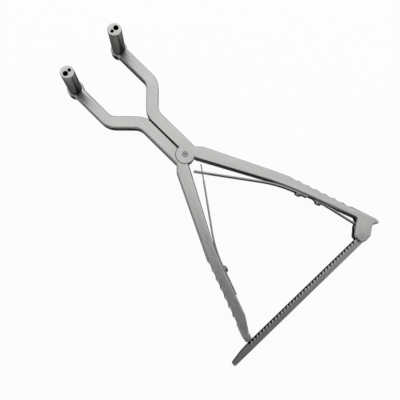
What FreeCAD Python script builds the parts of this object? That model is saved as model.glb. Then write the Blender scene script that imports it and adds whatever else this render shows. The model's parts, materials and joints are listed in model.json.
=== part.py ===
import FreeCAD, Part
import math
import os
import re
import Sketcher

# Two-arm spreading retractor. Its jaws end in pin guides and its handles in a ratchet bar.
# +Y runs from the pivot to the jaws, -Y to the handles, +Z up the pin guides.
# The origin is on the pivot axis, at the underside on which the instrument lies.

document = FreeCAD.newDocument("retractor")
sheet = document.addObject("Spreadsheet::Sheet", "dims")

# Driving dimensions, in millimetres and degrees. "Reach" is a distance from the pivot along Y.
SIZES = {
    "arm_thickness": 8.5,
    "edge_break": 0.9,
    # neck and jaw
    "contact_gap": 0.3,
    "neck_width": 8.9,
    "neck_foot": 0.6,
    "neck_reach": 38.8,
    "neck_inner_round": 14.0,
    "neck_outer_round": 9.0,
    "jaw_bend": 45.0,
    "bend_width": 8.6,
    "limb_inner": 17.2,
    "limb_width": 8.0,
    "limb_inner_round": 8.0,
    "limb_outer_round": 14.0,
    "guide_reach": 87.8,
    "end_radius": 5.8,
    # handles
    "crotch_reach": 1.3,
    "shoulder_width": 13.0,
    "shoulder_reach": 4.8,
    "shoulder_round": 6.0,
    "handle_reach": 63.2,
    "bend_lean": 30.75,
    "handle_width": 7.9,
    "handle_round": 200.0,
    "inner_angle": 20.2,
    "outer_angle": 18.2,
    "left_outer_angle": 20.6,
    # finger scallops
    "scallop_radius": 6.6,
    "scallop_depth": 0.9,
    "scallop_pitch": 6.8,
    "scallop_start": 3.8,
    # pivot
    "boss_radius": 6.7,
    "boss_gap": 0.25,
    "boss_chamfer": 0.4,
    "lap_gap": 0.1,
    "pivot_radius": 2.0,
    "pivot_chamfer": 0.4,
    "running_fit": 0.05,
    "seat_fit": 0.01,
    # pin guides
    "guide_radius": 4.7,
    "guide_height": 30.0,
    "guide_chamfer": 0.5,
    "spigot_radius": 3.9,
    "large_bore_radius": 1.65,
    "large_bore_offset": 1.4,
    "small_bore_radius": 1.05,
    "small_bore_offset": 2.0,
    # hinge lug and thumb spur of the right handle
    "hinge_inset": 5.8,
    "hinge_reach": 123.6,
    "hinge_radius": 1.5,
    "lug_corner": 7.2,
    "lug_corner_round": 2.0,
    "lug_nose": 7.8,
    "lug_nose_drop": 0.4,
    "lug_nose_round": 3.0,
    "lug_drop": 8.2,
    "lug_end_round": 4.0,
    "lug_toe": 0.6,
    "notch_side": 6.6,
    "notch_drop": 4.3,
    "spur_root": 8.9,
    "spur_side": 12.0,
    "spur_drop": 7.8,
    "spur_back_drop": 3.4,
    "spur_round": 1.2,
    "cheek_thickness": 1.9,
    # ratchet bar
    "slot_clearance": 0.1,
    "eye_radius": 4.8,
    "eye_clearance": 0.5,
    "crest_drop": 3.1,
    "bar_width": 4.8,
    "bar_heel": 6.6,
    "bar_shoulder": 4.6,
    "bar_tilt": 2.85,
    "bar_tip_width": 2.8,
    "tail_start": 1.6,
    "tail_length": 18.6,
    "tail_fall": 0.5,
    "tail_slope": 7.5,
    "tooth_pitch": 2.85,
    "tooth_depth": 1.9,
    "tooth_crest": 0.4,
    "tooth_web": 1.2,
    "tooth_overrun": 1.6,
    # pawl of the left handle
    "pawl_inset": 4.5,
    "pawl_tip": 0.4,
    "pawl_clearance": 0.45,
    "pawl_height": 2.1,
    "pawl_root_rise": 10.8,
    "pawl_end": 3.4,
    "pawl_foot": 0.9,
    "pawl_rise": 5.9,
    "pawl_bevel": 3.8,
    "pawl_edge": 4.3,
    # leaf springs of the handles
    "leaf_thickness": 0.9,
    "leaf_height": 5.6,
    "leaf_gap": 0.05,
    "leaf_tip_cross": 3.7,
    "leaf_tip_reach": 12.3,
    "leaf_round": 90.0,
    "leaf_screw_share": 0.454,
    "leaf_bend_rise": 1.8,
    "left_leaf_tail": 18.8,
    "right_leaf_tail_share": 0.57,
    "tongue_height": 1.8,
    "tongue_length": 12.0,
    "fork_length": 11.0,
    "fork_clearance": 0.2,
    # leaf spring of the ratchet bar
    "bar_leaf_height": 4.0,
    "bar_leaf_thickness": 0.8,
    "bar_leaf_length": 29.4,
    "bar_leaf_free": 24.6,
    "bar_leaf_tail": 3.5,
    "bar_leaf_round": 25.0,
    "bar_leaf_gap": 0.3,
    # spring screws
    "head_radius": 2.1,
    "head_height": 1.2,
    "head_round": 0.5,
    "shank_radius": 1.1,
    "shank_length": 4.6,
    "shank_clearance": 0.1,
    "driver_slot_width": 0.6,
    "driver_slot_depth": 0.5,
}

# Dimensions that follow from the driving ones
DERIVED = {
    "inner_side": "contact_gap / 2",
    "outer_side": "contact_gap / 2 + neck_width",
    "limb_outer": "limb_inner + limb_width",
    "guide_side": "limb_inner + limb_width / 2",
    "inner_bend_reach": "neck_reach + (limb_inner - inner_side) / tan(jaw_bend)",
    "bend_drop": "bend_width / sin(jaw_bend)",
    "neck_outer_reach": "neck_reach + neck_width / tan(jaw_bend) - bend_drop",
    "outer_bend_reach": "neck_reach + (limb_outer - inner_side) / tan(jaw_bend) - bend_drop",
    "handle_bend": "handle_reach * tan(bend_lean)",
    "handle_inner": "handle_bend - handle_width / 2",
    "handle_outer": "handle_bend + handle_width / 2",
    "half_height": "arm_thickness / 2",
    "hinge_side": "handle_inner + (hinge_reach - handle_reach) * tan(inner_angle) - hinge_inset",
    "pawl_side": "handle_outer + (hinge_reach - handle_reach) * tan(left_outer_angle) - pawl_inset",
    "pawl_reach": "hinge_reach + crest_drop / cos(bar_tilt) - (hinge_side + pawl_side) * tan(bar_tilt)"
                  " - pawl_clearance",
    "bar_run": "(hinge_side + pawl_side) / cos(bar_tilt)",
    "bar_length": "bar_run + tail_length",
    "left_end_reach": "pawl_reach - pawl_end",
    "pawl_root": "left_end_reach - pawl_root_rise",
    "spur_reach": "hinge_reach + spur_back_drop",
    "left_corner_side": "handle_inner + (pawl_root - handle_reach) * tan(inner_angle)",
    "left_end_inner": "left_corner_side + (pawl_side - pawl_tip - left_corner_side)"
                      " * (left_end_reach - pawl_root) / (pawl_reach - pawl_root)",
    "left_end_outer": "handle_outer + (left_end_reach - handle_reach) * tan(left_outer_angle)",
    "spur_back_side": "handle_outer + (spur_reach - handle_reach) * tan(outer_angle)",
    "corner_reach": "hinge_reach - lug_corner",
    "lug_corner_side": "handle_inner + (corner_reach - handle_reach) * tan(inner_angle)",
    "slot_height": "arm_thickness - 2 * cheek_thickness",
    "bar_height": "slot_height - 2 * slot_clearance",
    "leaf_corner_lift": "leaf_gap + leaf_thickness / 2",
    "leaf_corner_side": "handle_inner - leaf_corner_lift * cos(inner_angle)"
                        " - leaf_bend_rise * sin(inner_angle)",
    "leaf_corner_reach": "handle_reach + leaf_corner_lift * sin(inner_angle)"
                         " - leaf_bend_rise * cos(inner_angle)",
    "leaf_run": "leaf_corner_side + leaf_tip_cross",
    "leaf_rise": "leaf_corner_reach - leaf_tip_reach",
    "leaf_free_length": "sqrt(leaf_run * leaf_run + leaf_rise * leaf_rise)",
    "leaf_angle": "atan(leaf_run / leaf_rise) / 1 deg",
    "leaf_bend": "leaf_angle - inner_angle",
    "bar_leaf_lift": "(hinge_reach - handle_reach - eye_radius - bar_leaf_gap) * sin(inner_angle)"
                     " - (hinge_side - handle_inner) * cos(inner_angle)",
    "bar_leaf_drop": "(hinge_reach - handle_reach - eye_radius - bar_leaf_gap) * cos(inner_angle)"
                     " + (hinge_side - handle_inner) * sin(inner_angle)",
    "bar_leaf_screw_drop": "bar_leaf_drop - bar_leaf_length",
    "bar_leaf_bend_drop": "bar_leaf_drop - bar_leaf_free",
    "leaf_screw_drop": "leaf_screw_share * bar_leaf_screw_drop",
    "right_leaf_tail": "right_leaf_tail_share * (bar_leaf_screw_drop - bar_leaf_tail - leaf_screw_drop)",
}
LOWER_SCALLOPS = 7
TEETH = 36

for row, (alias, value) in enumerate(list(SIZES.items()) + list(DERIVED.items()), start=1):
    sheet.set("A%d" % row, alias)
    sheet.set("B%d" % row, str(value) if alias in SIZES else "=" + value)
    sheet.setAlias("B%d" % row, alias)
    document.recompute()


def value(alias):
    """The present value of one dimension."""
    return float(getattr(sheet, alias))


def linked(text):
    """An expression whose dimension names are those of the sheet."""
    return re.sub(r"\b([a-z]+(?:_[a-z]+)+)\b", r"dims.\1", str(text))


def mirrored(side, text):
    """The X expression of a point that lies on the given side of the instrument."""
    return str(text) if side > 0 else "-(%s)" % text


def turned(side, angle):
    """A turn about Z that leans +Y towards the middle, always as a positive angle."""
    return str(angle) if side > 0 else "360 - (%s)" % angle


def new_body(label):
    body = document.addObject("PartDesign::Body", label)
    body.Label = label
    return body


def new_sketch(body, name, height="0", x="0", y="0", turn="0", role="XY_Plane"):
    """A sketch on an origin plane of its own body, lifted along the plane's normal and turned."""
    plane = next(p for p in body.Origin.OriginFeatures if p.Role == role)
    sketch = body.newObject("Sketcher::SketchObject", name)
    sketch.AttachmentSupport = [(plane, "")]
    sketch.MapMode = "FlatFace"
    for axis, text in (("x", x), ("y", y), ("z", height)):
        sketch.setExpression("AttachmentOffset.Base." + axis, linked(text))
    if turn != "0":
        sketch.setExpression("AttachmentOffset.Rotation.Angle", linked(turn))
    return sketch


def drive(sketch, kind, expression, *where):
    """Adds one dimension to a sketch and ties it to an expression."""
    index = sketch.addConstraint(Sketcher.Constraint(kind, *where))
    sketch.setExpression("Constraints[%d]" % index, linked(expression))


def polygon(sketch, corners):
    """A closed outline through corners that are pairs of expressions."""
    count = len(corners)
    ring = [FreeCAD.Vector(50 * math.cos(2 * math.pi * i / count), 50 * math.sin(2 * math.pi * i / count), 0)
            for i in range(count)]
    for i in range(count):
        sketch.addGeometry(Part.LineSegment(ring[i], ring[(i + 1) % count]), False)
    for i in range(count):
        sketch.addConstraint(Sketcher.Constraint("Coincident", i - 1 if i else count - 1, 2, i, 1))
    for i, (x, y) in enumerate(corners):
        drive(sketch, "DistanceX", x, -1, 1, i, 1, ring[i].x)
        drive(sketch, "DistanceY", y, -1, 1, i, 1, ring[i].y)


def circle(sketch, x, y, radius):
    """A circle whose centre and radius are expressions."""
    index = sketch.addGeometry(Part.Circle(FreeCAD.Vector(1, 1, 0), FreeCAD.Vector(0, 0, 1), 1), False)
    drive(sketch, "DistanceX", x, -1, 1, index, 3, 1.0)
    drive(sketch, "DistanceY", y, -1, 1, index, 3, 1.0)
    drive(sketch, "Radius", radius, index, 1.0)


def pad(body, name, sketch, length):
    feature = body.newObject("PartDesign::Pad", name)
    feature.Profile = sketch
    feature.setExpression("Length", linked(length))
    document.recompute()
    return feature


def pocket(body, name, sketch, length, upward=False):
    """A cut from the sketch, downward unless told otherwise. It has to remove material."""
    before = body.Shape.Volume
    feature = body.newObject("PartDesign::Pocket", name)
    feature.Profile = sketch
    feature.setExpression("Length", linked(length))
    feature.Reversed = upward
    document.recompute()
    if body.Shape.Volume > before - 0.01:
        raise ValueError(name + " removes nothing")
    return feature


def turned_feature(body, kind, name, sketch):
    """A full turn of the sketch about its own vertical axis."""
    feature = body.newObject("PartDesign::" + kind, name)
    feature.Profile = sketch
    feature.ReferenceAxis = (sketch, ["V_Axis"])
    feature.Angle = 360
    document.recompute()
    return feature


def row_of(body, name, feature, sketch, axis, pitch, count, backward=False):
    """Repeats a feature along an axis of its sketch."""
    pattern = body.newObject("PartDesign::LinearPattern", name)
    pattern.Originals = [feature]
    pattern.Direction = (sketch, [axis])
    pattern.Reversed = backward
    pattern.Mode = "Spacing"
    pattern.setExpression("Offset", linked(pitch))
    body.Tip = pattern
    pattern.Occurrences = count
    document.recompute()
    return pattern


def upright_edges(shape, place):
    """Names of the edges that stand on one point of the outline."""
    names = []
    for number, edge in enumerate(shape.Edges, start=1):
        ends = [v.Point for v in edge.Vertexes]
        if len(ends) == 2 and all(math.hypot(p.x - place.x, p.y - place.y) < 1e-4 for p in ends):
            names.append("Edge%d" % number)
    return names


def round_corners(body, name, sketch, corners, radius):
    """Rounds the upright edges on the given corners of a sketched outline."""
    tip = body.Tip
    names = []
    for corner in corners:
        place = sketch.Placement.multVec(sketch.Geometry[corner].StartPoint)
        names += upright_edges(tip.Shape, place)
    feature = body.newObject("PartDesign::Fillet", name)
    feature.Base = (tip, names)
    feature.setExpression("Radius", linked(radius))
    document.recompute()
    return feature


def edges_at(shape, test):
    """Names of the edges whose points all satisfy the test."""
    names = []
    for number, edge in enumerate(shape.Edges, start=1):
        points = edge.discretize(5)
        if all(test(p) for p in points):
            names.append("Edge%d" % number)
    return names


def soften(body, name, kind, names, amount):
    """Fillet or chamfer on the named edges of the body's present tip."""
    tip = body.Tip
    feature = body.newObject("PartDesign::" + kind, name)
    feature.Base = (tip, names)
    feature.setExpression("Radius" if kind == "Fillet" else "Size", linked(amount))
    document.recompute()
    return feature


def blank_arm(side, label, end_corners):
    """The plate of one arm with its rounded guide end. Returns the body, its outline and the end's first corner."""
    body = new_body(label)
    outline = new_sketch(body, label + "_outline")
    start = [
        ("inner_side", "-crotch_reach"),
        ("handle_inner", "-handle_reach"),
    ]
    after = len(start) + len(end_corners)
    corners = start + end_corners + [
        ("handle_outer", "-handle_reach"),
        ("shoulder_width", "-shoulder_reach"),
        ("outer_side", "-neck_foot"),
        ("outer_side", "neck_outer_reach"),
        ("limb_outer", "outer_bend_reach"),
        ("limb_outer", "guide_reach"),
        ("limb_inner", "guide_reach"),
        ("limb_inner", "inner_bend_reach"),
        ("inner_side", "neck_reach"),
    ]
    polygon(outline, [(mirrored(side, x), y) for x, y in corners])
    pad(body, label + "_plate", outline, "arm_thickness")
    round_corners(body, label + "_handle_bend", outline, [1, after], "handle_round")
    round_corners(body, label + "_shoulder", outline, [after + 1], "shoulder_round")
    round_corners(body, label + "_neck_outer", outline, [after + 3], "neck_outer_round")
    round_corners(body, label + "_limb_outer", outline, [after + 4], "limb_outer_round")
    round_corners(body, label + "_limb_inner", outline, [after + 7], "limb_inner_round")
    round_corners(body, label + "_neck_inner", outline, [after + 8], "neck_inner_round")
    end = new_sketch(body, label + "_end", x=mirrored(side, "guide_side"), y="guide_reach")
    circle(end, "0", "0", "end_radius")
    pad(body, label + "_end_disc", end, "arm_thickness")
    return body, outline, len(start)


def soft_edges(body, label):
    """Breaks every edge of the top and bottom faces."""
    top = value("arm_thickness")
    flat = edges_at(body.Shape, lambda p: abs(p.z) < 1e-6 or abs(p.z - top) < 1e-6)
    soften(body, label + "_edges", "Chamfer", flat, "edge_break")


def guide_seat(body, label, side):
    """The round hole that takes the foot of a pin guide."""
    seat = new_sketch(body, label + "_seat", height="arm_thickness",
                      x=mirrored(side, "guide_side"), y="guide_reach")
    circle(seat, "0", "0", "spigot_radius + seat_fit")
    pocket(body, label + "_guide_seat", seat, "arm_thickness")


def scallops(body, label, side, angle):
    """Shallow finger grips along the outer edge of the lower handle."""
    scallop = new_sketch(body, label + "_scallop", height="arm_thickness",
                         x=mirrored(side, "handle_outer"), y="-handle_reach", turn=turned(side, angle))
    circle(scallop, mirrored(side, "scallop_radius - scallop_depth"), "-scallop_start", "scallop_radius")
    cut = pocket(body, label + "_finger_grip", scallop, "arm_thickness")
    row_of(body, label + "_finger_grips", cut, scallop, "V_Axis", "scallop_pitch", LOWER_SCALLOPS, True)


def half_lap(body, label, upper, hole_fit):
    """The arm's half of the pivot: a disc on one level and a round recess on the other."""
    recess = new_sketch(body, label + "_recess", height="half_height")
    circle(recess, "0", "0", "boss_radius + boss_gap")
    pocket(body, label + "_pivot_recess", recess, "half_height", upward=not upper)
    disc = new_sketch(body, label + "_disc", role="XZ_Plane")
    inside = "half_height + lap_gap / 2" if upper else "half_height - lap_gap / 2"
    outside = "arm_thickness" if upper else "0"
    bevel_start = "arm_thickness - boss_chamfer" if upper else "boss_chamfer"
    polygon(disc, [("0", inside), ("boss_radius", inside), ("boss_radius", bevel_start),
                   ("boss_radius - boss_chamfer", outside), ("0", outside)])
    turned_feature(body, "Revolution", label + "_pivot_disc", disc)
    hole = new_sketch(body, label + "_bore", height="arm_thickness")
    circle(hole, "0", "0", "pivot_radius + " + hole_fit)
    pocket(body, label + "_pivot_bore", hole, "arm_thickness")


def at_screw(body, name, side, drop, height="half_height"):
    """A sketch at a spring screw: its vertical axis is the screw's axis and points away from the handle."""
    return new_sketch(body, name, height=height,
                      x=mirrored(side, "handle_inner + (%s) * sin(inner_angle)" % drop),
                      y="-handle_reach - (%s) * cos(inner_angle)" % drop,
                      turn=turned(side, "inner_angle + 90"))


def screw_hole(body, name, side, drop, radius, start, end):
    """A round hole along a spring screw's axis."""
    hole = at_screw(body, name + "_profile", side, drop)
    polygon(hole, [("0", start), (radius, start), (radius, end), ("0", end)])
    turned_feature(body, "Groove", name, hole)


# Right arm: upper half of the pivot, hinge lug and thumb spur
RIGHT_END = [
    ("lug_corner_side", "-corner_reach"),
    ("hinge_side - lug_nose", "-hinge_reach - lug_nose_drop"),
    ("hinge_side - lug_nose", "-hinge_reach - lug_drop"),
    ("hinge_side + lug_toe", "-hinge_reach - lug_drop"),
    ("hinge_side + notch_side", "-hinge_reach - notch_drop"),
    ("hinge_side + spur_root", "-hinge_reach - notch_drop"),
    ("hinge_side + spur_side", "-hinge_reach - spur_drop"),
    ("spur_back_side", "-spur_reach"),
]
right_arm, outline, first = blank_arm(1, "right_arm", RIGHT_END)
round_corners(right_arm, "lug_corners", outline, [first], "lug_corner_round")
round_corners(right_arm, "lug_noses", outline, [first + 1, first + 3], "lug_nose_round")
round_corners(right_arm, "lug_ends", outline, [first + 2], "lug_end_round")
round_corners(right_arm, "spur_corners", outline, [first + 4, first + 5, first + 6, first + 7], "spur_round")
soft_edges(right_arm, "right_arm")
guide_seat(right_arm, "right_arm", 1)
scallops(right_arm, "right_arm", 1, "outer_angle")
half_lap(right_arm, "right_arm", True, "running_fit")

slot = new_sketch(right_arm, "lug_slot_outline", height="arm_thickness - cheek_thickness",
                  x="hinge_side", y="-hinge_reach")
polygon(slot, [
    ("eye_radius + eye_clearance", "0"),
    ("0", "0"),
    ("0", "eye_radius + eye_clearance"),
    ("-lug_nose - 2", "eye_radius + eye_clearance"),
    ("-lug_nose - 2", "-lug_drop - 2"),
    ("eye_radius + eye_clearance", "-lug_drop - 2"),
])
pocket(right_arm, "lug_slot", slot, "slot_height")
eye_room = new_sketch(right_arm, "lug_eye_room_circle", height="arm_thickness - cheek_thickness",
                      x="hinge_side", y="-hinge_reach")
circle(eye_room, "0", "0", "eye_radius + eye_clearance")
pocket(right_arm, "lug_eye_room", eye_room, "slot_height")
hinge_hole = new_sketch(right_arm, "hinge_hole_circle", height="arm_thickness", x="hinge_side", y="-hinge_reach")
circle(hinge_hole, "0", "0", "hinge_radius + seat_fit")
pocket(right_arm, "hinge_hole", hinge_hole, "arm_thickness")
screw_hole(right_arm, "right_screw_hole", 1, "leaf_screw_drop", "shank_radius + seat_fit", "1", "-shank_length")
screw_hole(right_arm, "bar_screw_hole", 1, "bar_leaf_screw_drop", "shank_radius + seat_fit", "1", "-shank_length")

# Left arm: lower half of the pivot and the pawl that catches the teeth of the bar
LEFT_END = [
    ("left_corner_side", "-pawl_root"),
    ("left_end_inner", "-left_end_reach"),
    ("left_end_outer", "-left_end_reach"),
]
left_arm, outline, first = blank_arm(-1, "left_arm", LEFT_END)
round_corners(left_arm, "left_end_bend", outline, [first], "shoulder_round")
round_corners(left_arm, "left_end_corner", outline, [first + 2], "spur_round")
soft_edges(left_arm, "left_arm")
guide_seat(left_arm, "left_arm", -1)
scallops(left_arm, "left_arm", -1, "left_outer_angle")
half_lap(left_arm, "left_arm", False, "seat_fit")

pawl = new_sketch(left_arm, "pawl_outline", height="pawl_foot", x="-pawl_side", y="-pawl_reach")
polygon(pawl, [
    ("pawl_side - left_end_inner - 1.4", "pawl_end + 1.5"),
    ("pawl_side - left_end_outer + 1.5", "pawl_end + 1.5"),
    ("pawl_side - left_end_outer + 1", "pawl_end"),
    ("0", "pawl_height"),
    ("0", "0"),
    ("pawl_tip", "0"),
    ("pawl_side - left_end_inner - 0.3", "pawl_end"),
])
pad(left_arm, "pawl_block", pawl, "pawl_rise")
bevel = new_sketch(left_arm, "pawl_bevel_outline", role="YZ_Plane")
polygon(bevel, [
    ("pawl_bevel - pawl_reach", "arm_thickness"),
    ("-pawl_reach", "pawl_edge"),
    ("-pawl_reach - 1", "pawl_edge"),
    ("-pawl_reach - 1", "arm_thickness"),
])
pocket(left_arm, "pawl_slope", bevel, "pawl_side + 10")
screw_hole(left_arm, "left_screw_hole", -1, "leaf_screw_drop", "shank_radius + seat_fit", "1", "-shank_length")

# Pivot pin and hinge pin, flush with both faces of the arms
for label, x, y, radius in (("pivot_pin", "0", "0", "pivot_radius"),
                            ("hinge_pin", "hinge_side", "-hinge_reach", "hinge_radius")):
    pin = new_body(label)
    section = new_sketch(pin, label + "_circle", x=x, y=y)
    circle(section, "0", "0", radius)
    pad(pin, label + "_rod", section, "arm_thickness")
    top = value("arm_thickness")
    rims = edges_at(pin.Shape, lambda p: abs(p.z) < 1e-6 or abs(p.z - top) < 1e-6)
    soften(pin, label + "_ends", "Chamfer", rims, "pivot_chamfer")

# Pin guides: a post with two bores on a foot that sits in the arm's end
for side, label in ((-1, "left_pin_guide"), (1, "right_pin_guide")):
    guide = new_body(label)
    foot = new_sketch(guide, label + "_foot_circle", x=mirrored(side, "guide_side"), y="guide_reach")
    circle(foot, "0", "0", "spigot_radius")
    pad(guide, label + "_foot", foot, "arm_thickness")
    post = new_sketch(guide, label + "_post_circle", height="arm_thickness",
                      x=mirrored(side, "guide_side"), y="guide_reach")
    circle(post, "0", "0", "guide_radius")
    pad(guide, label + "_post", post, "guide_height")
    top = value("arm_thickness") + value("guide_height")
    soften(guide, label + "_rim", "Chamfer", edges_at(guide.Shape, lambda p: abs(p.z - top) < 1e-6), "guide_chamfer")
    for bore, offset in (("large_bore", "large_bore_offset"), ("small_bore", "-small_bore_offset")):
        hole = new_sketch(guide, label + "_" + bore + "_circle", height="arm_thickness + guide_height",
                          x=mirrored(side, "guide_side + (%s)" % offset), y="guide_reach")
        circle(hole, "0", "0", bore + "_radius")
        pocket(guide, label + "_" + bore, hole, "arm_thickness + guide_height")

# Ratchet bar: hinge eye, toothed bar and smooth thumb tail
bar = new_body("ratchet_bar")
strip = new_sketch(bar, "bar_outline", height="cheek_thickness + slot_clearance",
                   x="hinge_side", y="-hinge_reach", turn="360 - bar_tilt")
polygon(strip, [
    ("-eye_radius + 0.2", "0"),
    ("-bar_heel", "-crest_drop"),
    ("-bar_run - tail_start", "-crest_drop"),
    ("-bar_run - tail_start - tail_slope", "-crest_drop - tail_fall"),
    ("-bar_length", "bar_tip_width - crest_drop - bar_width"),
    ("-bar_length", "-crest_drop - bar_width"),
    ("-bar_shoulder", "-crest_drop - bar_width"),
    ("eye_radius * 0.68", "-eye_radius * 0.7"),
])
pad(bar, "bar_strip", strip, "bar_height")
round_corners(bar, "tail_tip", strip, [4, 5], "bar_tip_width * 0.45")
eye = new_sketch(bar, "eye_circle", height="cheek_thickness + slot_clearance", x="hinge_side", y="-hinge_reach")
circle(eye, "0", "0", "eye_radius")
pad(bar, "eye_disc", eye, "bar_height")
eye_hole = new_sketch(bar, "eye_hole_circle", height="arm_thickness", x="hinge_side", y="-hinge_reach")
circle(eye_hole, "0", "0", "hinge_radius + running_fit")
pocket(bar, "eye_hole", eye_hole, "arm_thickness")
gap = new_sketch(bar, "tooth_gap_outline", height="arm_thickness",
                 x="hinge_side", y="-hinge_reach", turn="360 - bar_tilt")
polygon(gap, [
    ("-bar_run - tooth_overrun", "0.3 - crest_drop"),
    ("-bar_run - tooth_overrun", "-crest_drop - tooth_depth"),
    ("-bar_run - tooth_overrun + tooth_pitch - tooth_crest", "-crest_drop"),
    ("-bar_run - tooth_overrun + tooth_pitch - tooth_crest", "0.3 - crest_drop"),
])
first_gap = pocket(bar, "tooth_gap", gap, "arm_thickness - cheek_thickness - slot_clearance - tooth_web")
row_of(bar, "ratchet_teeth", first_gap, gap, "H_Axis", "tooth_pitch", TEETH)


def leaf(side, label, tail):
    """A leaf spring screwed to a handle. Its free part crosses the middle of the instrument."""
    body = new_body(label)
    blade = new_sketch(body, label + "_outline", height="half_height - leaf_height / 2",
                       x=mirrored(side, "handle_inner"), y="-handle_reach", turn=turned(side, "inner_angle"))
    near, far = "-leaf_gap", "-leaf_gap - leaf_thickness"
    tip_w = "-leaf_corner_lift - leaf_free_length * sin(leaf_bend)"
    tip_u = "leaf_bend_rise + leaf_free_length * cos(leaf_bend)"
    half_w = "leaf_thickness / 2 * cos(leaf_bend)"
    half_u = "leaf_thickness / 2 * sin(leaf_bend)"
    mitre = "leaf_thickness / 2 * tan(leaf_bend / 2)"
    tail_u = "-leaf_screw_drop - " + tail
    corners = [
        (near, tail_u),
        (near, "leaf_bend_rise + " + mitre),
        (tip_w + " + " + half_w, tip_u + " + " + half_u),
        (tip_w + " - " + half_w, tip_u + " - " + half_u),
        (far, "leaf_bend_rise - " + mitre),
        (far, tail_u),
    ]
    polygon(blade, [(mirrored(side, w), u) for w, u in corners])
    pad(body, label + "_blade", blade, "leaf_height")
    round_corners(body, label + "_outer_bend", blade, [1], "leaf_round + leaf_thickness")
    round_corners(body, label + "_inner_bend", blade, [4], "leaf_round")
    screw_hole(body, label + "_hole", side, "leaf_screw_drop", "shank_radius + shank_clearance", "3", "-1")
    return body


def near_tip(body, name, side, height, length):
    """A sketched rectangle that covers the given length of a handle spring's tip."""
    cover = new_sketch(body, name, height=height, x=mirrored(side, "leaf_corner_side"),
                       y="-leaf_corner_reach", turn=turned(side, "leaf_angle"))
    polygon(cover, [("-3", "leaf_free_length - " + length), ("3", "leaf_free_length - " + length),
                    ("3", "leaf_free_length + 1"), ("-3", "leaf_free_length + 1")])
    return cover


# Handle springs: the tongue of the left one passes through the fork of the right one
left_spring = leaf(-1, "left_handle_spring", "left_leaf_tail")
cover = near_tip(left_spring, "tongue_top_outline", -1, "half_height + leaf_height / 2", "tongue_length")
pocket(left_spring, "tongue_top", cover, "leaf_height / 2 - tongue_height / 2")
cover = near_tip(left_spring, "tongue_bottom_outline", -1, "half_height - tongue_height / 2", "tongue_length")
pocket(left_spring, "tongue_bottom", cover, "leaf_height / 2 - tongue_height / 2")
right_spring = leaf(1, "right_handle_spring", "right_leaf_tail")
cover = near_tip(right_spring, "fork_outline", 1, "half_height + tongue_height / 2 + fork_clearance", "fork_length")
pocket(right_spring, "fork_slot", cover, "tongue_height + 2 * fork_clearance")

# Leaf spring that bears on the eye of the ratchet bar
bar_spring = new_body("ratchet_spring")
blade = new_sketch(bar_spring, "ratchet_spring_outline", height="half_height - bar_leaf_height / 2",
                   x="handle_inner", y="-handle_reach", turn="inner_angle")
polygon(blade, [
    ("-leaf_gap", "-bar_leaf_bend_drop"),
    ("-leaf_gap", "bar_leaf_tail - bar_leaf_screw_drop"),
    ("-leaf_gap - bar_leaf_thickness", "bar_leaf_tail - bar_leaf_screw_drop"),
    ("-leaf_gap - bar_leaf_thickness", "-bar_leaf_bend_drop"),
    ("-bar_leaf_lift - bar_leaf_thickness / 2", "-bar_leaf_drop"),
    ("-bar_leaf_lift + bar_leaf_thickness / 2", "-bar_leaf_drop"),
])
pad(bar_spring, "ratchet_spring_blade", blade, "bar_leaf_height")
round_corners(bar_spring, "ratchet_spring_bend", blade, [0, 3], "bar_leaf_round")
screw_hole(bar_spring, "ratchet_spring_hole", 1, "bar_leaf_screw_drop",
           "shank_radius + shank_clearance", "3", "-1")


def spring_screw(side, label, drop, thickness):
    """A slotted screw whose head clamps a leaf spring on the handle."""
    body = new_body(label)
    seat = "leaf_gap + " + thickness
    profile = at_screw(body, label + "_profile", side, drop)
    polygon(profile, [
        ("0", "-shank_length"),
        ("shank_radius", "-shank_length"),
        ("shank_radius", seat),
        ("head_radius", seat),
        ("head_radius", seat + " + head_height - head_round"),
        ("head_radius - head_round", seat + " + head_height"),
        ("0", seat + " + head_height"),
    ])
    turned_feature(body, "Revolution", label + "_turning", profile)
    groove = at_screw(body, label + "_slot_outline", side, drop, height="arm_thickness")
    polygon(groove, [
        ("-driver_slot_width / 2", seat + " + head_height - driver_slot_depth"),
        ("driver_slot_width / 2", seat + " + head_height - driver_slot_depth"),
        ("driver_slot_width / 2", seat + " + head_height + 1"),
        ("-driver_slot_width / 2", seat + " + head_height + 1"),
    ])
    pocket(body, label + "_slot", groove, "arm_thickness")


spring_screw(-1, "left_spring_screw", "leaf_screw_drop", "leaf_thickness")
spring_screw(1, "right_spring_screw", "leaf_screw_drop", "leaf_thickness")
spring_screw(1, "ratchet_spring_screw", "bar_leaf_screw_drop", "bar_leaf_thickness")

document.recompute()
bodies = [item for item in document.Objects if item.TypeId == "PartDesign::Body"]
for item in document.Objects:
    if "Invalid" in item.State or "Error" in item.State:
        raise ValueError(item.Name + " failed: " + ", ".join(item.State))
for body in bodies:
    if body.Shape.isNull() or not body.Shape.isValid() or len(body.Shape.Solids) != 1:
        raise ValueError(body.Label + " isn't one valid solid")

os.makedirs("parts", exist_ok=True)
for body in bodies:
    body.Shape.exportStep("parts/" + body.Label + ".step")
    print(body.Label, round(body.Shape.Volume, 1), len(body.Shape.Faces))
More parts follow.
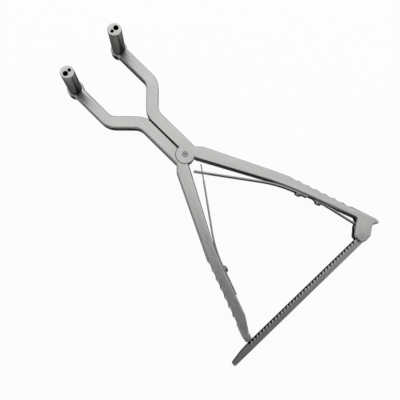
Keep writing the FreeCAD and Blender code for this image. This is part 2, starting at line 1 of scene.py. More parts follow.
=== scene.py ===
import bmesh
import bpy
import json
import math
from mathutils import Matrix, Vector

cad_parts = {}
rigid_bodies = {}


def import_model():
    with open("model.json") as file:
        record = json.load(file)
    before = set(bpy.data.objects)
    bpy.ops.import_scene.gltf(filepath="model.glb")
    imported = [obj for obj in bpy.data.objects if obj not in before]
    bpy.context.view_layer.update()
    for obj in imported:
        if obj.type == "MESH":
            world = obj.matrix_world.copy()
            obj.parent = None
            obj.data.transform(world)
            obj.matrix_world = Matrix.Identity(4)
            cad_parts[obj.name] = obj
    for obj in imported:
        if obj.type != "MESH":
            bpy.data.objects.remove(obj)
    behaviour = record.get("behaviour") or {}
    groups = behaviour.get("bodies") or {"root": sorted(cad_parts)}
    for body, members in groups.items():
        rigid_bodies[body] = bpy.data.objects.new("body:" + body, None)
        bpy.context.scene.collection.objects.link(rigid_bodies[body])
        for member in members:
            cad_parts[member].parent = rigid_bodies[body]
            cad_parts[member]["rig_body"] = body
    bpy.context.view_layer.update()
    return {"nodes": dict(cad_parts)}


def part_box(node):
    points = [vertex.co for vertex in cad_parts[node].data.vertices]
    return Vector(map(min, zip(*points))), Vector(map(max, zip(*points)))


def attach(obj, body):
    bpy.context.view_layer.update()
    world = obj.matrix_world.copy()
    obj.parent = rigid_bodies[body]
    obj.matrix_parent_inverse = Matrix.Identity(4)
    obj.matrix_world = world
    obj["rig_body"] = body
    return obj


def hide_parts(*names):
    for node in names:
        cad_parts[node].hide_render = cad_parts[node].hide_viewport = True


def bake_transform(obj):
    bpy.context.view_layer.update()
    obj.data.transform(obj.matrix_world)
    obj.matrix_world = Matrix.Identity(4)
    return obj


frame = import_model()
nodes = frame["nodes"]

# ---------------------------------------------------------------------------
# View, table and studio light. The instrument lies on a pale table and is seen
# from nearly straight above, with its jaws at the upper left. The focal length
# is for the 36 mm wide sensor and a square picture.
camera_data = bpy.data.cameras.new("view")
camera_data.sensor_width = 36.0
camera_data.lens = 47.9
camera_data.clip_start = 0.01
camera_data.clip_end = 20.0
camera = bpy.data.objects.new("view", camera_data)
camera.location = (-0.0662, -0.0535, 0.3716)
camera.rotation_euler = (math.radians(8.2225), math.radians(-2.9654), math.radians(-45.4029))
bpy.context.scene.collection.objects.link(camera)
bpy.context.scene.camera = camera
bpy.context.scene.view_settings.view_transform = "Standard"


def linear(hex_code):
    """A screen colour such as #c8c9c8 as the linear colour that a shader takes."""
    channels = [int(hex_code[i:i + 2], 16) / 255 for i in (1, 3, 5)]
    return [c / 12.92 if c <= 0.04045 else ((c + 0.055) / 1.055) ** 2.4 for c in channels] + [1.0]


def add_node(tree, kind, sockets=None, **settings):
    """A node with its settings and its unlinked inputs filled in. A node output given as a value is linked."""
    node = tree.nodes.new(kind)
    for key, setting in settings.items():
        setattr(node, key, setting)
    for key, value in (sockets or {}).items():
        if isinstance(value, bpy.types.NodeSocket):
            tree.links.new(value, node.inputs[key])
        else:
            node.inputs[key].default_value = value
    return node


def new_material(name):
    """An empty node material and its output node."""
    material = bpy.data.materials.new(name)
    material.use_nodes = True
    material.node_tree.nodes.clear()
    return material, material.node_tree.nodes.new("ShaderNodeOutputMaterial")


# A matt white sheet. The lens and the steel see it almost burnt out, as in a product photograph, so it shows
# only a faint shadow and still lights the instrument from below like plain paper.
table_material, table_output = new_material("matt_white_table")
tree = table_material.node_tree
matt = add_node(tree, "ShaderNodeBsdfDiffuse", {"Color": linear("#f6f6f5")})
glow = add_node(tree, "ShaderNodeEmission", {"Color": (1.0, 1.0, 1.0, 1.0), "Strength": 1.0})
shown = add_node(tree, "ShaderNodeMixShader", {0: 0.95, 1: matt.outputs[0], 2: glow.outputs[0]})
ray = tree.nodes.new("ShaderNodeLightPath")
seen = add_node(tree, "ShaderNodeMath", {0: ray.outputs["Is Camera Ray"], 1: ray.outputs["Is Glossy Ray"]},
                operation="ADD")
seen = add_node(tree, "ShaderNodeMath", {0: seen.outputs[0], 1: ray.outputs["Is Transmission Ray"]},
                operation="ADD", use_clamp=True)
table_shader = add_node(tree, "ShaderNodeMixShader", {0: seen.outputs[0], 1: matt.outputs[0],
                                                      2: shown.outputs[0]})
tree.links.new(table_shader.outputs[0], table_output.inputs["Surface"])

# It reaches past every view, and lies 0.1 mm below the instrument.
table_reach, table_level = 3.0, -0.0001
table_mesh = bpy.data.meshes.new("table_top")
table_mesh.from_pydata([(-table_reach, -table_reach, table_level), (table_reach, -table_reach, table_level),
                        (table_reach, table_reach, table_level), (-table_reach, table_reach, table_level)],
                       [], [(0, 1, 2, 3)])
table_mesh.materials.append(table_material)
table = bpy.data.objects.new("table_top", table_mesh)
bpy.context.scene.collection.objects.link(table)

# The steel mirrors this room. Its walls grow brighter towards the window, +X and +Y, which shades the sides of the
# arms, and its dim ceiling keeps their flat faces a soft grey.
world = bpy.data.worlds.new("studio_room")
world.use_nodes = True
room = world.node_tree
sky = room.nodes.new("ShaderNodeTexCoord").outputs["Generated"]
towards = add_node(room, "ShaderNodeVectorMath", {0: sky, 1: (0.7071, 0.7071, 0.0)}, operation="DOT_PRODUCT")
walls = add_node(room, "ShaderNodeMapRange", {"Value": towards.outputs["Value"], "From Min": -1.0, "From Max": 1.0,
                                              "To Min": 0.13, "To Max": 0.85})
upward = add_node(room, "ShaderNodeSeparateXYZ", {0: sky})
ceiling = add_node(room, "ShaderNodeMapRange", {"Value": upward.outputs["Z"], "From Min": 0.35, "From Max": 0.85},
                   interpolation_type="SMOOTHSTEP")
daylight = add_node(room, "ShaderNodeMix", {"Factor": ceiling.outputs[0], 2: walls.outputs[0], 3: 0.18})
room.nodes["Background"].inputs["Color"].default_value = (0.98, 0.99, 1.0, 1.0)
room.links.new(daylight.outputs[0], room.nodes["Background"].inputs["Strength"])
bpy.context.scene.world = world


def softbox(name, centre, target, width, height, power):
    """A large rectangular lamp that faces the target, its size in metres and its power in watts."""
    lamp = bpy.data.lights.new(name, "AREA")
    lamp.shape = "RECTANGLE"
    lamp.size, lamp.size_y = width, height
    lamp.energy = power
    holder = bpy.data.objects.new(name, lamp)
    holder.location = centre
    holder.rotation_euler = (Vector(target) - Vector(centre)).to_track_quat("-Z", "Y").to_euler()
    bpy.context.scene.collection.objects.link(holder)
    return holder


ceiling_box = softbox("ceiling_softbox", (0.62, 0.52, 0.73), (0.62, 0.52, 0.0), 1.6, 2.0, 7.4)
ceiling_box.rotation_euler[2] = math.radians(40)
softbox("window_panel", (1.5, 1.5, 0.45), (0.0, 0.0, 0.05), 2.2, 0.8, 4.0)

# ---------------------------------------------------------------------------
# The two arms: jaw, neck, half-lapped pivot and handle of each, milled from
# stainless steel plate. The flat faces are satin-ground along the arm, the
# edges are worn bright, and the side walls are darkened with painted shade.


arm_thickness = 0.0085


def satin_steel(name, face, wall_shade, edge, roughness, grain=(1.111, 16.67, 1.111), grain_turn=0.0, edge_reach=0.00035,
                tooth_gap_shade=None):
    """Ground stainless steel, its walls darkened with painted shade and its edges worn. The grain is the size of one
    line in mm, along X, Y and Z before it is turned. How far the edge colour reaches in from an edge is given in
    metres."""
    # Grinding lines are about 0.05 mm apart, too fine for the picture, so they are drawn about 20 times as coarse.
    # They give the eye a silky sheen with a direction, the clouds the uneven tone of a handled instrument, and the
    # specks, drawn coarser too, the dull sparkle of blasted steel.
    cloud_size, speck_size = 18.18, 0.3846
    material, output = new_material(name)
    tree = material.node_tree
    place = tree.nodes.new("ShaderNodeTexCoord").outputs["Object"]
    lines_place = add_node(tree, "ShaderNodeMapping", {"Vector": place, "Rotation": (0.0, 0.0, grain_turn),
                                                       "Scale": [1000 / size for size in grain]})
    lines = add_node(tree, "ShaderNodeTexNoise", {"Vector": lines_place.outputs[0], "Scale": 1.0, "Detail": 3.0,
                                                  "Roughness": 0.6})
    clouds = add_node(tree, "ShaderNodeTexNoise", {"Vector": place, "Scale": 1000 / cloud_size, "Detail": 4.0,
                                                   "Roughness": 0.55})
    specks = add_node(tree, "ShaderNodeTexNoise", {"Vector": place, "Scale": 1000 / speck_size, "Detail": 1.0})

    # Level faces show the ground steel. Upright walls are coloured darker, painted shade for the dim room that they
    # mirror.
    shape = tree.nodes.new("ShaderNodeNewGeometry")
    upright = add_node(tree, "ShaderNodeSeparateXYZ", {0: shape.outputs["Normal"]})
    level = add_node(tree, "ShaderNodeMath", {0: upright.outputs["Z"]}, operation="ABSOLUTE")
    flat = add_node(tree, "ShaderNodeMapRange", {"Value": level.outputs[0], "From Min": 0.55, "From Max": 0.86})
    face_or_wall_shade = add_node(tree, "ShaderNodeMix", {"Factor": flat.outputs[0], 6: linear(wall_shade), 7: linear(face)},
                      data_type="RGBA")
    tone = add_node(tree, "ShaderNodeMapRange", {"Value": lines.outputs["Fac"], "From Min": 0.3, "From Max": 0.7,
                                                 "To Min": 0.93, "To Max": 1.05})
    patch = add_node(tree, "ShaderNodeMapRange", {"Value": clouds.outputs["Fac"], "From Min": 0.3, "From Max": 0.7,
                                                  "To Min": 0.92, "To Max": 1.06})
    both = add_node(tree, "ShaderNodeMath", {0: tone.outputs[0], 1: patch.outputs[0]}, operation="MULTIPLY")
    toned = add_node(tree, "ShaderNodeVectorMath", {0: face_or_wall_shade.outputs[2], "Scale": both.outputs[0]},
                     operation="SCALE")

    # Handling wears the broken edges bright: there the normal of a rounded edge differs from the face's own. An edge
    # colour darker than the face, as on the pins, is painted shade there instead.
    rounded = add_node(tree, "ShaderNodeBevel", {"Radius": edge_reach}, samples=6)
    turn = add_node(tree, "ShaderNodeVectorMath", {0: rounded.outputs[0], 1: shape.outputs["True Normal"]},
                    operation="DOT_PRODUCT")
    edge_wear_and_shade = add_node(tree, "ShaderNodeMapRange", {"Value": turn.outputs["Value"], "From Min": 0.995,
                                                 "From Max": 0.9})
    colour = add_node(tree, "ShaderNodeMix", {"Factor": edge_wear_and_shade.outputs[0], 6: toned.outputs[0], 7: linear(edge)},
                      data_type="RGBA")

    if tooth_gap_shade:
        # Painted shade on the floors of the gaps between the teeth makes them read as black notches. The zone lies
        # below a height and beyond a line beside the hinge, which is turned with the bar.
        along = add_node(tree, "ShaderNodeMapping", {"Vector": place, "Location": tooth_gap_shade["hinge"],
                                                     "Rotation": (0.0, 0.0, tooth_gap_shade["turn"])},
                         vector_type="TEXTURE")
        spot = add_node(tree, "ShaderNodeSeparateXYZ", {0: along.outputs[0]})
        deep = add_node(tree, "ShaderNodeMath", {0: spot.outputs["Z"], 1: tooth_gap_shade["below"]},
                        operation="LESS_THAN")
        near = add_node(tree, "ShaderNodeMath", {0: spot.outputs["Y"], 1: tooth_gap_shade["line"]},
                        operation="GREATER_THAN")
        zone = add_node(tree, "ShaderNodeMath", {0: deep.outputs[0], 1: near.outputs[0]}, operation="MULTIPLY")
        floor = add_node(tree, "ShaderNodeMapRange", {"Value": flat.outputs[0], "To Min": 0.9})
        painted_gap_shade = add_node(tree, "ShaderNodeMath", {0: zone.outputs[0], 1: floor.outputs[0]}, operation="MULTIPLY")
        colour = add_node(tree, "ShaderNodeMix", {"Factor": painted_gap_shade.outputs[0], 6: colour.outputs[2],
                                                  7: linear(tooth_gap_shade["colour"])}, data_type="RGBA")

    # The sheen varies a little with the lines and clouds, and the bumps of 0.04 and 0.03 mm break it up.
    dull = add_node(tree, "ShaderNodeMapRange", {"Value": lines.outputs["Fac"], "From Min": 0.3, "From Max": 0.7,
                                                 "To Min": roughness - 0.025, "To Max": roughness + 0.025})
    cloudy = add_node(tree, "ShaderNodeMapRange", {"Value": clouds.outputs["Fac"], "From Min": 0.3, "From Max": 0.7,
                                                   "To Min": -0.015, "To Max": 0.02})
    matt = add_node(tree, "ShaderNodeMath", {0: dull.outputs[0], 1: cloudy.outputs[0]}, operation="ADD")
    grain_bump = add_node(tree, "ShaderNodeBump", {"Strength": 0.2, "Distance": 0.00004,
                                                   "Height": lines.outputs["Fac"]})
    bump = add_node(tree, "ShaderNodeBump", {"Strength": 0.08, "Distance": 0.00003,
                                             "Height": specks.outputs["Fac"], "Normal": grain_bump.outputs[0]})
    # Ground and blasted steel shadows itself at a flat angle, so its rim is dimmer than a polished one's.
    steel = add_node(tree, "ShaderNodeBsdfPrincipled", {"Metallic": 1.0, "Base Color": colour.outputs[2],
                                                        "Specular Tint": (0.35, 0.35, 0.35, 1.0),
                                                        "Roughness": matt.outputs[0], "Normal": bump.outputs[0]})
    tree.links.new(steel.outputs[0], output.inputs["Surface"])
    return material


def eased_copy(node, name, material, round_below=50, rides=True):
    """A copy of a CAD solid, merged into whole faces, whose broken edges are shaded as worn round. Edges that turn
    by less than round_below degrees are shaded round."""
    same_corner, same_face = 0.000002, math.radians(0.2)
    mesh = nodes[node].data.copy()
    mesh.name = name
    shell = bmesh.new()
    shell.from_mesh(mesh)
    bmesh.ops.remove_doubles(shell, verts=shell.verts, dist=same_corner)
    bmesh.ops.dissolve_limit(shell, angle_limit=same_face, verts=shell.verts, edges=shell.edges)
    shell.to_mesh(mesh)
    shell.free()
    mesh.materials.clear()
    mesh.materials.append(material)
    mesh.polygons.foreach_set("use_smooth", [True] * len(mesh.polygons))
    mesh.set_sharp_from_angle(angle=math.radians(round_below))
    piece = bpy.data.objects.new(name, mesh)
    bpy.context.scene.collection.objects.link(piece)
    soft = piece.modifiers.new("face_weighted_shading", "WEIGHTED_NORMAL")
    soft.weight = 90
    soft.keep_sharp = True
    if rides:
        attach(piece, nodes[node]["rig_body"])
    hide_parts(node)
    return piece


# The grain runs along each handle and neck, 10 degrees to either side of the middle. The pale grey faces and the
# nearly black painted shade on the walls give the arms the look of flat plate.
left_arm_steel = satin_steel("satin_ground_stainless_left_arm", "#cfd0cd", "#3a3b39", "#cfd0cd", 0.30,
                             grain_turn=math.radians(10))
right_arm_steel = satin_steel("satin_ground_stainless_right_arm", "#cfd0cd", "#3a3b39", "#cfd0cd", 0.30,
                              grain_turn=math.radians(-10))
eased_copy("left_arm", "left_arm_worn", left_arm_steel)
eased_copy("right_arm", "right_arm_worn", right_arm_steel)

# The end of the left handle is rounded off beside the pawl, almost at the teeth of the bar. It is as thick as the
# arm less a hair on both faces, so that no two faces share a place.
end_outline = [(-0.0611, -0.1150), (-0.0620, -0.1192), (-0.0614, -0.1199), (-0.0597, -0.1207), (-0.0581, -0.1204),
               (-0.0573, -0.1196), (-0.0562, -0.1168), (-0.0562, -0.1150)]
end_inset, end_rounding, level_step = 0.00005, 0.0008, 0.000001
tip = bmesh.new()
lower = [tip.verts.new((x, y, end_inset)) for x, y in end_outline]
upper = [tip.verts.new((x, y, arm_thickness - end_inset)) for x, y in end_outline]
tip.faces.new(lower[::-1])
tip.faces.new(upper)
for i in range(len(end_outline)):
    j = (i + 1) % len(end_outline)
    tip.faces.new((lower[i], lower[j], upper[j], upper[i]))
bmesh.ops.recalc_face_normals(tip, faces=tip.faces)
rim = [e for e in tip.edges if abs(e.verts[0].co.z - e.verts[1].co.z) < level_step]
bmesh.ops.bevel(tip, geom=rim, offset=end_rounding, offset_type="OFFSET", segments=3, profile=0.5, affect="EDGES")
end_mesh = bpy.data.meshes.new("left_handle_end")
tip.to_mesh(end_mesh)
tip.free()
end_mesh.materials.append(left_arm_steel)
end_mesh.polygons.foreach_set("use_smooth", [True] * len(end_mesh.polygons))
end_mesh.set_sharp_from_angle(angle=math.radians(50))
handle_end = bpy.data.objects.new("left_handle_end", end_mesh)
bpy.context.scene.collection.objects.link(handle_end)
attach(handle_end, "left_side")

# ---------------------------------------------------------------------------
# Pivot pin and hinge pin: ground stainless rods, turned to length and pressed
# flush with both faces of the arms. The pivot pin is dimpled where it was
# riveted over, and the hinge pin is ground off with the lug.
# A ground end face without a direction, inside a ring of painted shade on the chamfer and edge, where pin and arm
# meet.
pin_steel = satin_steel("turned_stainless_pins", "#c4c5c3", "#262726", "#8c8d8b", 0.32,
                        grain=(1.4286, 1.4286, 1.4286), edge_reach=0.0002)


def turned_piece(name, x, y, profile, material):
    """A solid turned about an upright axis at x, y. The profile is its (radius, height) points from top to foot."""
    segments = 64
    mesh = bpy.data.meshes.new(name)
    lathe = bmesh.new()
    rings = []
    for radius, height in profile:
        if radius == 0:
            rings.append([lathe.verts.new((x, y, height))])
        else:
            rings.append([lathe.verts.new((x + radius * math.cos(math.tau * k / segments),
                                           y + radius * math.sin(math.tau * k / segments), height))
                          for k in range(segments)])
    for above, below in zip(rings, rings[1:]):
        for k in range(segments):
            n = (k + 1) % segments
            corners = [above[k % len(above)], above[n % len(above)], below[n % len(below)], below[k % len(below)]]
            lathe.faces.new(list(dict.fromkeys(corners)))
    bmesh.ops.recalc_face_normals(lathe, faces=lathe.faces)
    lathe.to_mesh(mesh)
    lathe.free()
    mesh.materials.append(material)
    mesh.polygons.foreach_set("use_smooth", [True] * len(mesh.polygons))
    mesh.set_sharp_from_angle(angle=math.radians(30))
    piece = bpy.data.objects.new(name, mesh)
    bpy.context.scene.collection.objects.link(piece)
    return piece


pivot_radius, pivot_chamfer, dimple_depth = 0.0020, 0.0004, 0.0005
pivot = turned_piece("riveted_pivot_pin", 0.0, 0.0, [
    (0, arm_thickness - dimple_depth), (0.0006, arm_thickness - dimple_depth), (0.0010, arm_thickness - 0.0001),
    (0.0011, arm_thickness), (0.0017, arm_thickness), (pivot_radius, arm_thickness - pivot_chamfer),
    (pivot_radius, pivot_chamfer), (pivot_radius - pivot_chamfer, 0.0), (0, 0.0)], pin_steel)
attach(pivot, "left_side")
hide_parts("pivot_pin")

hinge_radius, hinge_chamfer = 0.0015, 0.00004
pin_low, pin_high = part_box("hinge_pin")
hinge_x, hinge_y = (pin_low[0] + pin_high[0]) / 2, (pin_low[1] + pin_high[1]) / 2
ground_pin = turned_piece("ground_hinge_pin", hinge_x, hinge_y, [
    (0, arm_thickness), (hinge_radius - hinge_chamfer, arm_thickness), (hinge_radius, arm_thickness - hinge_chamfer),
    (hinge_radius, hinge_chamfer), (hinge_radius - hinge_chamfer, 0.0), (0, 0.0)], right_arm_steel)
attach(ground_pin, "right_side")
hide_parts("hinge_pin")

# ---------------------------------------------------------------------------
# Pin guides: stainless posts, turned on a lathe, with a large and a small bore
# along their whole length. The end faces are bright, and the walls are darkened with painted shade.
# The grain is the tool's marks round the post, drawn 0.4 mm high because the real ones are too fine to show.
guide_steel = satin_steel("turned_stainless_pin_guides", "#d0d0cd", "#5e5f5c", "#d4d4d2", 0.30,
                          grain=(6.25, 6.25, 0.4167))


def pin_guide(node, name, side):
    """One post: outside turned in steps, with two bores drilled through it, the small one towards the middle."""
    low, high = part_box(node)
    x, y, top = (low[0] + high[0]) / 2, (low[1] + high[1]) / 2, high[2]
    post, foot, rounding, mouth_chamfer = 0.0047, 0.0039, 0.0005, 0.0002
    large_offset, large_radius, small_offset, small_radius = 0.0014, 0.00165, 0.0020, 0.00105
    bores = [(x + side * large_offset, large_radius), (x - side * small_offset, small_radius)]
    around_post, around_bore = 80, 40
    shell = bmesh.new()

    def ring(cx, radius, height, count):
        return [shell.verts.new((cx + radius * math.cos(math.tau * k / count),
                                 y + radius * math.sin(math.tau * k / count), height)) for k in range(count)]

    def closed(points):
        return [shell.edges.get((a, b)) or shell.edges.new((a, b)) for a, b in zip(points, points[1:] + points[:1])]

    def skin(upper, lower):
        for k in range(len(upper)):
            n = (k + 1) % len(upper)
            shell.faces.new((upper[k], upper[n], lower[n], lower[k]))

    outside = [ring(x, radius, height, around_post) for radius, height in (
        (post - rounding, top), (post - rounding * 0.3, top - rounding * 0.3), (post, top - rounding),
        (post, arm_thickness), (foot, arm_thickness), (foot, 0.0))]
    for upper, lower in zip(outside, outside[1:]):
        skin(upper, lower)
    edges_above, edges_below = closed(outside[0]), closed(outside[-1])
    for cx, radius in bores:
        mouth = [ring(cx, radius + mouth_chamfer, top, around_bore),
                 ring(cx, radius, top - mouth_chamfer, around_bore), ring(cx, radius, 0.0, around_bore)]
        for upper, lower in zip(mouth, mouth[1:]):
            skin(upper, lower)
        edges_above += closed(mouth[0])
        edges_below += closed(mouth[-1])
    bmesh.ops.triangle_fill(shell, use_beauty=True, use_dissolve=False, edges=edges_above)
    bmesh.ops.triangle_fill(shell, use_beauty=True, use_dissolve=False, edges=edges_below)
    bmesh.ops.recalc_face_normals(shell, faces=shell.faces)
    mesh = bpy.data.meshes.new(name)
    shell.to_mesh(mesh)
    shell.free()
    mesh.materials.append(guide_steel)
    mesh.polygons.foreach_set("use_smooth", [True] * len(mesh.polygons))
    mesh.set_sharp_from_angle(angle=math.radians(40))
    guide = bpy.data.objects.new(name, mesh)
    bpy.context.scene.collection.objects.link(guide)
    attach(guide, nodes[node]["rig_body"])
    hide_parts(node)


pin_guide("left_pin_guide", "left_turned_pin_guide", -1)
pin_guide("right_pin_guide", "right_turned_pin_guide", 1)

# ---------------------------------------------------------------------------
# Toothed ratchet bar: milled from one strip of stainless steel, with a round
# eye that turns in the slot of the lug and a smooth tail for the thumb.
# A shade darker and duller than the arms, with its grain along the bar. Painted shade darkens its walls and the
# floors of its tooth gaps.
bar_tilt = math.radians(2.85)
bar_steel = satin_steel("milled_stainless_ratchet_bar", "#b2b3b0", "#464745", "#b6b7b4", 0.36,
                        grain=(16.67, 0.9091, 1.111), grain_turn=bar_tilt, edge_reach=0.0002,
                        tooth_gap_shade={"hinge": (hinge_x, hinge_y, 0.0), "turn": -bar_tilt, "below": 0.0060,
                                "line": -0.00505, "colour": "#151615"})
eased_copy("ratchet_bar", "ratchet_bar_milled", bar_steel, round_below=25)

# ---------------------------------------------------------------------------
# Leaf springs: strips of tempered spring steel, screwed to the handles. The two
# long ones bend as the handles close, with the tongue of the left one through
# the fork of the right one. The short one bears on the eye of the bar.

# Grey edges above sides darkened with painted shade make them read as thin lines, with rolling marks along the
# strip.
spring_steel = satin_steel("tempered_stainless_leaf_springs", "#b4b5b3", "#3c3d3b", "#b4b5b3", 0.34,
                           grain=(12.5, 12.5, 0.6667), edge_reach=0.0002)


def bending_leaf(node, name, start, tip):
    """A copy of a handle spring, cut across at even steps from start to tip."""
    steps, on_plane = 28, 0.000001
    piece = eased_copy(node, name, spring_steel, round_below=30, rides=False)
    start, tip = Vector(start), Vector(tip)
    strip = bmesh.new()
    strip.from_mesh(piece.data)
    for step in range(1, steps):
        bmesh.ops.bisect_plane(strip, geom=strip.verts[:] + strip.edges[:] + strip.faces[:], dist=on_plane,
                               plane_co=start + (tip - start) * step / steps,
                               plane_no=(tip - start).normalized())
    strip.to_mesh(piece.data)
    strip.free()
    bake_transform(piece)


# The cuts across each spring start below its screw and end beyond the place where the two cross.
bending_leaf("left_handle_spring", "left_leaf_with_tongue",
             (-0.0320, -0.0600, 0.00425), (0.0037, -0.0123, 0.00425))
bending_leaf("right_handle_spring", "right_leaf_with_fork",
             (0.0320, -0.0600, 0.00425), (-0.0037, -0.0123, 0.00425))
eased_copy("ratchet_spring", "ratchet_leaf", spring_steel, round_below=30)

# ---------------------------------------------------------------------------
# Spring screws: slotted stainless screws with a domed head on a flat washer.
# They clamp the leaf springs to the inner faces of the handles, two on the
# right handle and one on the left.
# Darker than the springs, so that the heads stand out as small grey knobs, with painted shade on their sides.
screw_steel = satin_steel("turned_stainless_screws", "#8e8f8d", "#4a4b4a", "#b4b5b3", 0.3,
                          grain=(1.111, 1.111, 1.111), edge_reach=0.0002)

screws_tree = bpy.data.node_groups.new("slotted_screws", "GeometryNodeTree")
screws_tree.interface.new_socket("Seats", in_out="INPUT", socket_type="NodeSocketGeometry")
for size in ("Washer radius", "Washer height", "Head radius", "Head height", "Dome height", "Slot width",
             "Slot depth", "Shank radius", "Shank length"):
    screws_tree.interface.new_socket(size, in_out="INPUT", socket_type="NodeSocketFloat")
screws_tree.interface.new_socket("Finish", in_out="INPUT", socket_type="NodeSocketMaterial")
screws_tree.interface.new_socket("Screws", in_out="OUTPUT", socket_type="NodeSocketGeometry")
given = screws_tree.nodes.new("NodeGroupInput").outputs


def turned_disc(radius, height, foot, rings=1):
    """A disc of the screw, standing on the height foot."""
    disc = add_node(screws_tree, "GeometryNodeMeshCylinder", {"Vertices": 40, "Fill Segments": rings,
                                                              "Radius": radius, "Depth": height},
                    fill_type="TRIANGLE_FAN")
    half = add_node(screws_tree, "ShaderNodeMath", {0: height, 1: 0.5, 2: foot}, operation="MULTIPLY_ADD")
    up = add_node(screws_tree, "ShaderNodeCombineXYZ", {"Z": half.outputs[0]})
    return add_node(screws_tree, "GeometryNodeTransform", {"Geometry": disc.outputs["Mesh"],
                                                           "Translation": up.outputs[0]})


# The washer, and on it the head, whose top falls away with the square of the radius.
washer = turned_disc(given["Washer radius"], given["Washer height"], 0.0)
head = turned_disc(given["Head radius"], given["Head height"], given["Washer height"], rings=5)
position = screws_tree.nodes.new("GeometryNodeInputPosition")
spot = add_node(screws_tree, "ShaderNodeSeparateXYZ", {0: position.outputs[0]})
flat_spot = add_node(screws_tree, "ShaderNodeCombineXYZ", {"X": spot.outputs["X"], "Y": spot.outputs["Y"]})
out = add_node(screws_tree, "ShaderNodeVectorMath", {0: flat_spot.outputs[0]}, operation="LENGTH")
share = add_node(screws_tree, "ShaderNodeMath", {0: out.outputs["Value"], 1: given["Head radius"]},
                 operation="DIVIDE")
share = add_node(screws_tree, "ShaderNodeMath", {0: share.outputs[0], 1: 2.0}, operation="POWER")
fall = add_node(screws_tree, "ShaderNodeMath", {0: share.outputs[0], 1: given["Dome height"]},
                operation="MULTIPLY")
fall = add_node(screws_tree, "ShaderNodeMath", {0: fall.outputs[0], 1: -1.0}, operation="MULTIPLY")
shift = add_node(screws_tree, "ShaderNodeCombineXYZ", {"Z": fall.outputs[0]})
middle = add_node(screws_tree, "ShaderNodeMath", {0: given["Head height"], 1: 0.5, 2: given["Washer height"]},
                  operation="MULTIPLY_ADD")
above = add_node(screws_tree, "ShaderNodeMath", {0: spot.outputs["Z"], 1: middle.outputs[0]},
                 operation="GREATER_THAN")
domed = add_node(screws_tree, "GeometryNodeSetPosition", {"Geometry": head.outputs[0],
                                                          "Selection": above.outputs[0],
                                                          "Offset": shift.outputs[0]})

# The slot is cut across the head by a box whose middle lies in its top.
length = add_node(screws_tree, "ShaderNodeMath", {0: given["Head radius"], 1: 3.0}, operation="MULTIPLY")
depth = add_node(screws_tree, "ShaderNodeMath", {0: given["Slot depth"], 1: 2.0}, operation="MULTIPLY")
cutter_size = add_node(screws_tree, "ShaderNodeCombineXYZ", {"X": length.outputs[0], "Y": given["Slot width"],
                                                             "Z": depth.outputs[0]})
cutter = add_node(screws_tree, "GeometryNodeMeshCube", {"Size": cutter_size.outputs[0]})
head_top = add_node(screws_tree, "ShaderNodeMath", {0: given["Washer height"], 1: given["Head height"]},
                    operation="ADD")
cutter_up = add_node(screws_tree, "ShaderNodeCombineXYZ", {"Z": head_top.outputs[0]})
cutter = add_node(screws_tree, "GeometryNodeTransform", {"Geometry": cutter.outputs["Mesh"],
                                                         "Translation": cutter_up.outputs[0]})
slotted = add_node(screws_tree, "GeometryNodeMeshBoolean", {"Mesh 1": domed.outputs[0],
                                                            "Mesh 2": cutter.outputs[0]},
                   operation="DIFFERENCE", solver="EXACT")

# With its shank below the washer, one screw stands on each seat and points outward.
shank_foot = add_node(screws_tree, "ShaderNodeMath", {0: given["Shank length"], 1: -1.0}, operation="MULTIPLY")
shank = turned_disc(given["Shank radius"], given["Shank length"], shank_foot.outputs[0])
screw = screws_tree.nodes.new("GeometryNodeJoinGeometry")
for piece in (shank, slotted, washer):
    screws_tree.links.new(piece.outputs[0], screw.inputs[0])
outward = add_node(screws_tree, "GeometryNodeInputNamedAttribute", {"Name": "outward"}, data_type="FLOAT_VECTOR")
turn = add_node(screws_tree, "FunctionNodeAlignRotationToVector", {"Vector": outward.outputs["Attribute"]},
                axis="Z")
placed = add_node(screws_tree, "GeometryNodeInstanceOnPoints", {"Points": given["Seats"],
                                                                "Instance": screw.outputs[0],
                                                                "Rotation": turn.outputs[0]})
real = add_node(screws_tree, "GeometryNodeRealizeInstances", {"Geometry": placed.outputs[0]})
finished = add_node(screws_tree, "GeometryNodeSetMaterial", {"Geometry": real.outputs[0],
                                                             "Material": given["Finish"]})
screws_output = screws_tree.nodes.new("NodeGroupOutput")
screws_tree.links.new(finished.outputs[0], screws_output.inputs["Screws"])

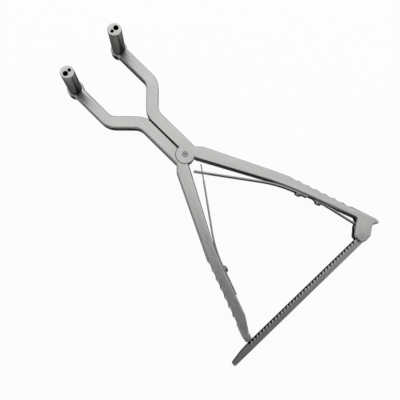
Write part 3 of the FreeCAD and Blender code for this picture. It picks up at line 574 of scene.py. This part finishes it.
screw_sizes = {"Washer radius": 0.0028, "Washer height": 0.0004, "Head radius": 0.0023, "Head height": 0.0016,
               "Dome height": 0.0006, "Slot width": 0.0006, "Slot depth": 0.0008, "Shank radius": 0.0011,
               "Shank length": 0.0055, "Finish": screw_steel}
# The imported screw's head is lower than this one, and the inner faces of the handles lean by 20.2 degrees.
packed_head = 0.0012
same_rim = 0.00005
handle_lean = math.radians(20.2)


def spring_screws(name, body, screw_nodes, side):
    """All screws of one handle as one mesh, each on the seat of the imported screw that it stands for."""
    away = Vector((-side * math.cos(handle_lean), -math.sin(handle_lean), 0.0))
    seats = []
    for node in screw_nodes:
        points = [v.co for v in nodes[node].data.vertices]
        far = max(v.dot(away) for v in points)
        rim = [v for v in points if v.dot(away) > far - same_rim]
        seats.append(sum(rim, Vector()) / len(rim) - away * packed_head)
    mesh = bpy.data.meshes.new(name + "_seats")
    mesh.from_pydata([list(seat) for seat in seats], [], [])
    mesh.attributes.new("outward", "FLOAT_VECTOR", "POINT").data.foreach_set("vector", list(away) * len(seats))
    holder = bpy.data.objects.new(name + "_seats", mesh)
    bpy.context.scene.collection.objects.link(holder)
    maker = holder.modifiers.new("slotted_screws", "NODES")
    maker.node_group = screws_tree
    for socket in screws_tree.interface.items_tree:
        if socket.in_out == "INPUT" and socket.name in screw_sizes:
            maker[socket.identifier] = screw_sizes[socket.name]
    made = holder.evaluated_get(bpy.context.evaluated_depsgraph_get())
    solid = bpy.data.meshes.new_from_object(made)
    holder.modifiers.remove(maker)
    bpy.data.objects.remove(holder)
    solid.name = name
    solid.polygons.foreach_set("use_smooth", [True] * len(solid.polygons))
    solid.set_sharp_from_angle(angle=math.radians(30))
    screws = bpy.data.objects.new(name, solid)
    bpy.context.scene.collection.objects.link(screws)
    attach(screws, body)
    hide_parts(*screw_nodes)


spring_screws("left_slotted_screw", "left_side", ["left_spring_screw"], -1)
spring_screws("right_slotted_screws", "right_side", ["right_spring_screw", "ratchet_spring_screw"], 1)
